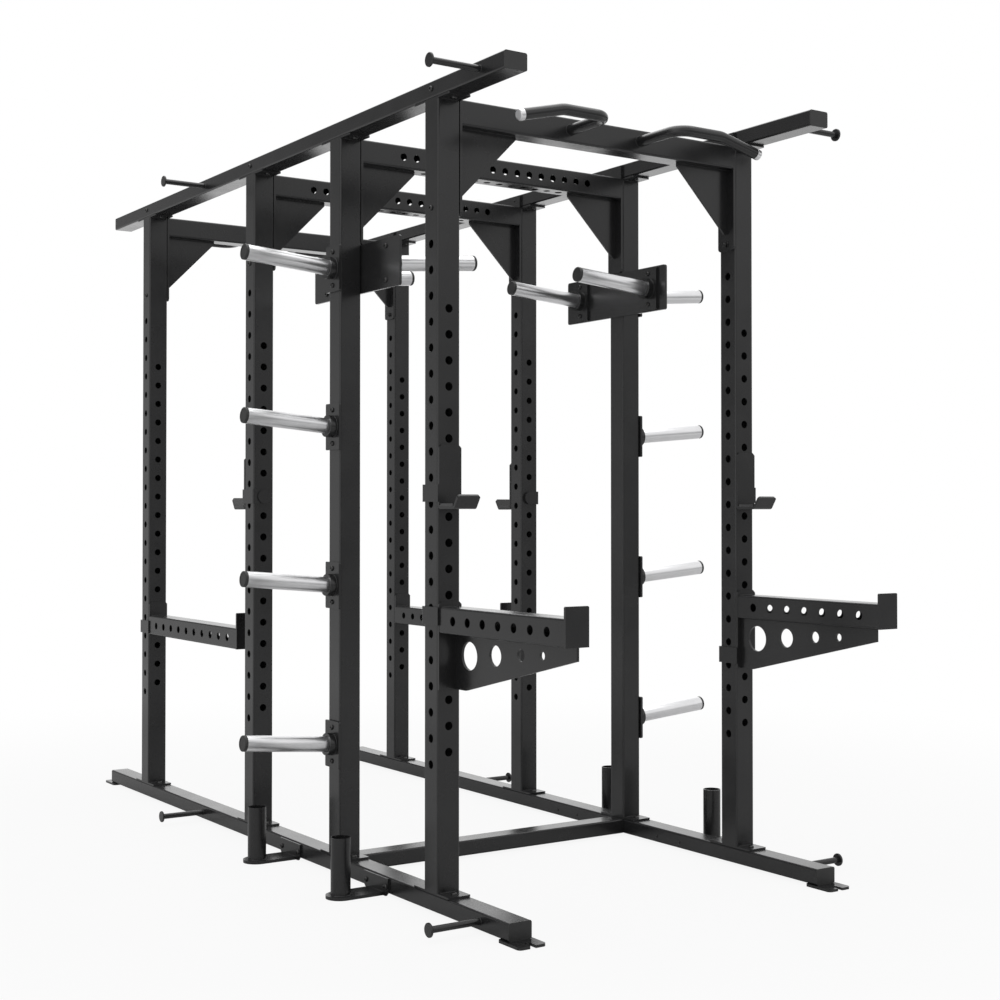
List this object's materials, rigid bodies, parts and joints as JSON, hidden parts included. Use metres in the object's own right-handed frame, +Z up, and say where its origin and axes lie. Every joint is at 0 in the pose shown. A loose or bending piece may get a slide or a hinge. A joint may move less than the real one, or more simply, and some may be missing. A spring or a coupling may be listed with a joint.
{
  "type": "power cage",
  "caption": "Tall steel power cage with drilled uprights, weight horns, bar cups, spotter and safety arms, pull-up handles, band pegs and bar holders.",
  "frame": {"origin": "on the floor, in the middle of the outline seen from above", "axes": "+Z up; -Y is the front, where the spotter arms reach out; +X is to the right of someone who stands in front and looks along +Y"},
  "size_m": [1.8556, 3.317, 2.4],
  "materials": {
    "powder_coat": "satin black powder coat",
    "pin_steel": "satin black",
    "chrome": "polished chrome plate",
    "black_plastic": "moulded black plastic",
    "liner_plastic": "dense black plastic, lightly scuffed"
  },
  "bodies": {
    "frame": {"band_pegs_bottom_left": "powder_coat", "band_pegs_bottom_right": "powder_coat", "band_pegs_top_left": "powder_coat", "band_pegs_top_right": "powder_coat", "bar_cup_front_left": "powder_coat", "bar_cup_front_right": "powder_coat", "bar_cup_liners": "liner_plastic", "bar_cup_middle_left": "powder_coat", "bar_cup_middle_right": "powder_coat", "bar_holder_front_left": "powder_coat", "bar_holder_front_right": "powder_coat", "bar_holder_rear_left": "powder_coat", "bar_holder_rear_right": "powder_coat", "bottom_rail_left": "powder_coat", "bottom_rail_right": "powder_coat", "floor_crossmember": "powder_coat", "foot_plate_front_left": "powder_coat", "foot_plate_front_right": "powder_coat", "foot_plate_rear_left": "powder_coat", "foot_plate_rear_right": "powder_coat", "handle_end_caps": "chrome", "horn_end_caps_left": "black_plastic", "horn_end_caps_right": "black_plastic", "horn_mounts_left": "powder_coat", "horn_mounts_right": "powder_coat", "horn_sleeves_left": "chrome", "horn_sleeves_right": "chrome", "plate_bracket_left": "powder_coat", "plate_bracket_right": "powder_coat", "pull_up_handle_front_left": "powder_coat", "pull_up_handle_front_right": "powder_coat", "pull_up_handle_rear_left": "powder_coat", "pull_up_handle_rear_right": "powder_coat", "rail_end_plugs": "black_plastic", "safety_arm_left": "powder_coat", "safety_arm_right": "powder_coat", "top_crossmember_front": "powder_coat", "top_crossmember_middle": "powder_coat", "top_crossmember_rear": "powder_coat", "top_crossmember_storage": "powder_coat", "top_rail_left": "powder_coat", "top_rail_right": "powder_coat", "upright_front_left": "powder_coat", "upright_front_right": "powder_coat", "upright_middle_left": "powder_coat", "upright_middle_right": "powder_coat", "upright_rear_left": "powder_coat", "upright_rear_right": "powder_coat", "upright_storage_left": "powder_coat", "upright_storage_right": "powder_coat"},
    "bar_cup_pin_front_left": {"bar_cup_pin_front_left": "pin_steel"},
    "bar_cup_pin_front_right": {"bar_cup_pin_front_right": "pin_steel"},
    "bar_cup_pin_middle_left": {"bar_cup_pin_middle_left": "pin_steel"},
    "bar_cup_pin_middle_right": {"bar_cup_pin_middle_right": "pin_steel"},
    "safety_arm_pin_left": {"safety_arm_pin_left": "pin_steel"},
    "safety_arm_pin_right": {"safety_arm_pin_right": "pin_steel"},
    "spotter_arm_left": {"spotter_arm_left": "powder_coat"},
    "spotter_arm_right": {"spotter_arm_right": "powder_coat"}
  },
  "joints": [
    {"name": "spotter_arm_left_turn", "type": "hinge", "parent": "frame", "child": "spotter_arm_left", "pos_m": [-0.5705, -1.04, 0.7645], "axis": [0, -1, 0], "range_deg": [0, 40]},
    {"name": "spotter_arm_right_turn", "type": "hinge", "parent": "frame", "child": "spotter_arm_right", "pos_m": [0.5705, -1.04, 0.7645], "axis": [0, 1, 0], "range_deg": [0, 40]},
    {"name": "bar_cup_pin_front_left_slide", "type": "slide", "parent": "frame", "child": "bar_cup_pin_front_left", "axis": [0, 1, 0], "range_m": [0, 0.02]},
    {"name": "bar_cup_pin_front_right_slide", "type": "slide", "parent": "frame", "child": "bar_cup_pin_front_right", "axis": [0, 1, 0], "range_m": [0, 0.02]},
    {"name": "bar_cup_pin_middle_left_slide", "type": "slide", "parent": "frame", "child": "bar_cup_pin_middle_left", "axis": [0, -1, 0], "range_m": [0, 0.02]},
    {"name": "bar_cup_pin_middle_right_slide", "type": "slide", "parent": "frame", "child": "bar_cup_pin_middle_right", "axis": [0, -1, 0], "range_m": [0, 0.02]},
    {"name": "safety_arm_pin_left_slide", "type": "slide", "parent": "frame", "child": "safety_arm_pin_left", "axis": [0, 1, 0], "range_m": [0, 0.02]},
    {"name": "safety_arm_pin_right_slide", "type": "slide", "parent": "frame", "child": "safety_arm_pin_right", "axis": [0, 1, 0], "range_m": [0, 0.02]}
  ]
}
